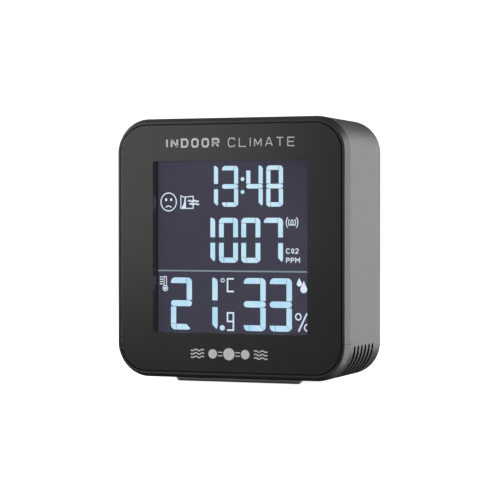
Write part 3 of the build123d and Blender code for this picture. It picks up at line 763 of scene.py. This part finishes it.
def lettering(name, words, x, z, height, width, face_y, thickness, material, facing):
    """Lettering in the built-in face, fitted to a height and a width and centred at x and z."""
    curve = bpy.data.curves.new(name + "_curve", "FONT")
    curve.body = words
    maker = bpy.data.objects.new(name + "_maker", curve)
    bpy.context.scene.collection.objects.link(maker)
    bpy.context.view_layer.update()
    flat = bpy.data.meshes.new_from_object(maker.evaluated_get(bpy.context.evaluated_depsgraph_get()))
    bpy.data.objects.remove(maker)
    xs = [vertex.co.x for vertex in flat.vertices]
    ys = [vertex.co.y for vertex in flat.vertices]
    wide = width / (max(xs) - min(xs))
    tall = height / (max(ys) - min(ys))
    side = -facing
    for vertex in flat.vertices:
        across = (vertex.co.x - (max(xs) + min(xs)) / 2) * wide
        up = (vertex.co.y - (max(ys) + min(ys)) / 2) * tall
        vertex.co = ((x + side * across) * MM, face_y, (z + up) * MM + mid_z)
    work = bmesh.new()
    work.from_mesh(flat)
    bmesh.ops.remove_doubles(work, verts=work.verts, dist=1e-7)
    grown = bmesh.ops.extrude_face_region(work, geom=list(work.faces))
    moved = [item for item in grown["geom"] if isinstance(item, bmesh.types.BMVert)]
    bmesh.ops.translate(work, verts=moved, vec=(0, facing * thickness, 0))
    bmesh.ops.recalc_face_normals(work, faces=work.faces)
    work.to_mesh(flat)
    work.free()
    piece = bpy.data.objects.new(name, flat)
    bpy.context.scene.collection.objects.link(piece)
    for face in flat.polygons:
        face.use_smooth = False
    flat.materials.clear()
    flat.materials.append(material)
    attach(piece, "case")


# ---------------------------------------------------------------- printed marks

INK_RISE = 0.01 * MM
LEGEND_LEFT = -21.9
LEGEND_LOW = 32.1
LEGEND_HIGH = 35.1
LETTER_WIDTH = 2.62
LETTER_GAP = 1.3
WORD_GAP = 1.94
BOLD_LINE = 0.64
THIN_LINE = 0.34
MARK_Z = -33.65
SIGN_RISE = 5.6
INLET_LABEL_RISE = 4.6
LETTERS = {
    "A": [[(0, 0), (0.44, 1), (0.56, 1), (1, 0)], [(0.2, 0.3), (0.8, 0.3)]],
    "C": [[(1, 0.78), (0.8, 1), (0.2, 1), (0, 0.78), (0, 0.22), (0.2, 0), (0.8, 0), (1, 0.22)]],
    "D": [[(0, 0.5), (0, 0), (0.75, 0), (1, 0.25), (1, 0.75), (0.75, 1), (0, 1), (0, 0.5)]],
    "E": [[(1, 1), (0, 1), (0, 0), (1, 0)], [(0, 0.5), (0.9, 0.5)]],
    "I": [[(0, 0), (0, 1)]],
    "L": [[(0, 1), (0, 0), (1, 0)]],
    "M": [[(0, 0), (0, 1)], [(0, 1), (0.5, 0.15)], [(0.5, 0.15), (1, 1)], [(1, 1), (1, 0)]],
    "N": [[(0, 0), (0, 1)], [(0, 1), (1, 0)], [(1, 0), (1, 1)]],
    "O": [[(0.5, 1), (0.2, 1), (0, 0.78), (0, 0.22), (0.2, 0),
           (0.8, 0), (1, 0.22), (1, 0.78), (0.8, 1), (0.5, 1)]],
    "R": [[(0, 0), (0, 1), (0.8, 1), (1, 0.85), (1, 0.58), (0.8, 0.43), (0, 0.43)],
          [(0.55, 0.43), (1, 0)]],
    "T": [[(0, 1), (1, 1)], [(0.5, 1), (0.5, 0)]],
}


def plain_capitals(word, x, line):
    """Polygons of a word in plain stroked capitals that starts at x, and the x of the next letter."""
    polygons = []
    low, high = LEGEND_LOW + line / 2, LEGEND_HIGH - line / 2
    for letter in word:
        wide = line if letter == "I" else LETTER_WIDTH
        left, right = x + line / 2, x + wide - line / 2
        for path in LETTERS[letter]:
            points = [(left + (right - left) * part, low + (high - low) * rise) for part, rise in path]
            polygons += stroke(points, line)
        x += wide + LETTER_GAP - line * 0.5
    return polygons, x


first_word, next_x = plain_capitals("INDOOR", LEGEND_LEFT, BOLD_LINE)
second_word = plain_capitals("CLIMATE", next_x + WORD_GAP, THIN_LINE)[0]
plate("legend_first_word", first_word, panel_y, INK_RISE, ink_material)
plate("legend_second_word", second_word, panel_y, INK_RISE, ink_material)


def molecule_marks():
    """A carbon dioxide molecule between two short breaths of air."""
    z = MARK_Z
    polygons = [disc(0, z, 1.95)]
    for side in (-1, 1):
        polygons.append(disc(side * 5.6, z, 1.5))
        for rise in (-0.55, 0.55):
            left, right = sorted((side * 2.2, side * 3.8))
            polygons.append(rectangle(left, right, z + rise - 0.17, z + rise + 0.17))
        for rise in (-1.1, 0, 1.1):
            wave = [
                (side * (8.6 + 4.6 * step / 16), z + rise + 0.25 * math.sin(step * math.pi / 4))
                for step in range(17)
            ]
            polygons += stroke(wave, 0.38)
    return polygons


plate("air_mark", molecule_marks(), panel_y, INK_RISE, ink_material)


def middle_of(name):
    """Centre of a node's box in the flat shapes' own millimetres."""
    low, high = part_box(name)
    return (low.x + high.x) / 2 / MM, ((low.z + high.z) / 2 - mid_z) / MM


def rear_marks():
    """Signs over the four buttons, beside the slider and over the inlet."""
    x, z = middle_of("menu_button")
    z += SIGN_RISE
    polygons = [rectangle(x - 1.1, x + 1.1, z + rise - 0.16, z + rise + 0.16) for rise in (-0.8, 0, 0.8)]
    x = middle_of("up_button")[0]
    polygons.append([(x - 1.1, z - 0.75), (x + 1.1, z - 0.75), (x, z + 1.05)])
    x = middle_of("down_button")[0]
    polygons.append([(x - 1.1, z + 0.75), (x, z - 1.05), (x + 1.1, z + 0.75)])
    x = middle_of("set_button")[0]
    polygons += ring(x, z, 1.1, 0.32) + [disc(x, z, 0.38)]
    x, z = middle_of("power_slider")
    polygons += ring(x - 5.2, z, 0.95, 0.3) + [rectangle(x + 5.05, x + 5.35, z - 0.95, z + 0.95)]
    x, z = middle_of("usb_socket")
    z += INLET_LABEL_RISE
    polygons.append(rectangle(x - 5.1, x - 2.3, z + 0.2, z + 0.5))
    polygons += [rectangle(x + left, x + left + 0.7, z - 0.5, z - 0.2) for left in (-5.1, -4.05, -3.0)]
    return polygons


plate("rear_signs", rear_marks(), back_y, INK_RISE, dim_ink_material, facing=1)
inlet_x, inlet_z = middle_of("usb_socket")
lettering(
    "inlet_label", "5 V", inlet_x + 2.2, inlet_z + INLET_LABEL_RISE, 1.7, 3.6,
    back_y, INK_RISE, dim_ink_material, facing=1,
)


# ---------------------------------------------------------------- camera, light and floor

AZIMUTH = math.radians(22.42)
ELEVATION = math.radians(0.761)
DISTANCE = 0.6782
FOCAL_LENGTH_MM = 150.17
target = Vector((0.000035, 0, mid_z - 0.00075))

camera_data = bpy.data.cameras.new("camera")
camera_data.lens = FOCAL_LENGTH_MM
camera_data.sensor_width = 36
camera = bpy.data.objects.new("camera", camera_data)
offset = Vector((
    math.sin(AZIMUTH) * math.cos(ELEVATION), -math.cos(AZIMUTH) * math.cos(ELEVATION), math.sin(ELEVATION),
))
camera.location = target + DISTANCE * offset
camera.rotation_euler = (-offset).to_track_quat("-Z", "Y").to_euler()
bpy.context.scene.collection.objects.link(camera)
bpy.context.scene.camera = camera


def softbox(name, place, width, height, power, aim=(0, 0, 0.042)):
    """Rectangular area light that faces the object and isn't seen itself."""
    light = bpy.data.lights.new(name, "AREA")
    light.shape = "RECTANGLE"
    light.size = width
    light.size_y = height
    light.energy = power
    lamp = bpy.data.objects.new(name, light)
    lamp.location = place
    lamp.visible_camera = False
    lamp.rotation_euler = (Vector(aim) - Vector(place)).to_track_quat("-Z", "Y").to_euler()
    bpy.context.scene.collection.objects.link(lamp)
    return lamp


def keep_off(lamp, names):
    """Keep a lamp's light off some pieces, as a card beside it would."""
    spared = bpy.data.collections.new(lamp.name + "_flag")
    for name in names:
        spared.objects.link(nodes[name])
    lamp.light_linking.receiver_collection = spared
    for entry in spared.collection_objects:
        entry.light_linking.link_state = "EXCLUDE"


softbox("right_softbox", (1.0, 0.65, 0.175), 0.7, 1.05, 18.5)
softbox("rear_softbox", (0.5, 1.15, 0.15), 0.6, 0.7, 2.5)
softbox("rear_high_softbox", (0.5, 1.1, 0.8), 0.6, 0.6, 1.4)
softbox("left_softbox", (-1.15, -0.35, 0.3), 0.7, 0.8, 24.0)
softbox("low_softbox", (0.35, 0.33, -0.55), 0.45, 0.35, 0.37)
softbox("low_right_softbox", (0.53, 0.35, -0.34), 0.35, 0.3, 1.15)
softbox("low_side_softbox", (0.60, 0.10, -0.30), 0.3, 0.25, 0.8)
panel_lamp = softbox(
    "panel_softbox", (-0.134, -0.2175, 0.090), 0.138, 0.138, 0.083, aim=(-0.03, 0, 0.058)
)
keep_off(panel_lamp, ["window_lens"])

world = bpy.data.worlds.new("studio")
bpy.context.scene.world = world
world.use_nodes = True
world_tree = world.node_tree
sky = world_tree.nodes["Background"]
upward = place_of(world_tree, "Generated")[2]
world_tree.links.new(spread(world_tree, upward, 0.04, 0.2, -0.25, 0.05), sky.inputs["Strength"])
sky.inputs["Color"].default_value = (1, 1, 1, 1)


def studio_bowl():
    """Pale floor that curves up into a wall all round, evenly bright and seen only by the camera."""
    floor_radius = 1.6
    curve_radius = 0.8
    wall_height = 3.0
    peak_height = 3.6
    steps = 72
    profile = [(0.0, 0.0), (floor_radius, 0.0)]
    for step in range(1, 11):
        turn = math.pi / 2 * step / 10
        profile.append((
            floor_radius + curve_radius * math.sin(turn), curve_radius - curve_radius * math.cos(turn),
        ))
    profile += [(floor_radius + curve_radius, wall_height), (0.0, peak_height)]
    work = bmesh.new()
    rows = []
    for radius, height in profile:
        if radius == 0:
            rows.append([work.verts.new((0, 0, height))] * steps)
        else:
            turns = [2 * math.pi * k / steps for k in range(steps)]
            rows.append([
                work.verts.new((radius * math.cos(turn), radius * math.sin(turn), height)) for turn in turns
            ])
    for lower, upper in zip(rows, rows[1:]):
        for k in range(steps):
            following = (k + 1) % steps
            corners = []
            for vertex in (lower[k], lower[following], upper[following], upper[k]):
                if vertex not in corners:
                    corners.append(vertex)
            work.faces.new(corners)
    bmesh.ops.recalc_face_normals(work, faces=work.faces)
    bmesh.ops.reverse_faces(work, faces=work.faces)
    mesh = bpy.data.meshes.new("studio_floor")
    work.to_mesh(mesh)
    work.free()
    for face in mesh.polygons:
        face.use_smooth = True
    floor = bpy.data.objects.new("studio_floor", mesh)
    bpy.context.scene.collection.objects.link(floor)
    material, _, shader = start_material("pale_floor")
    shader.inputs["Base Color"].default_value = (0.9, 0.9, 0.9, 1)
    shader.inputs["Roughness"].default_value = 1.0
    shader.inputs["Specular IOR Level"].default_value = 0.0
    shader.inputs["Emission Color"].default_value = (1, 1, 1, 1)
    shader.inputs["Emission Strength"].default_value = 0.9
    mesh.materials.append(material)
    for ray in ("visible_diffuse", "visible_glossy", "visible_transmission", "visible_volume_scatter"):
        setattr(floor, ray, False)
    floor.visible_shadow = False


studio_bowl()
bpy.context.scene.view_settings.view_transform = "Standard"
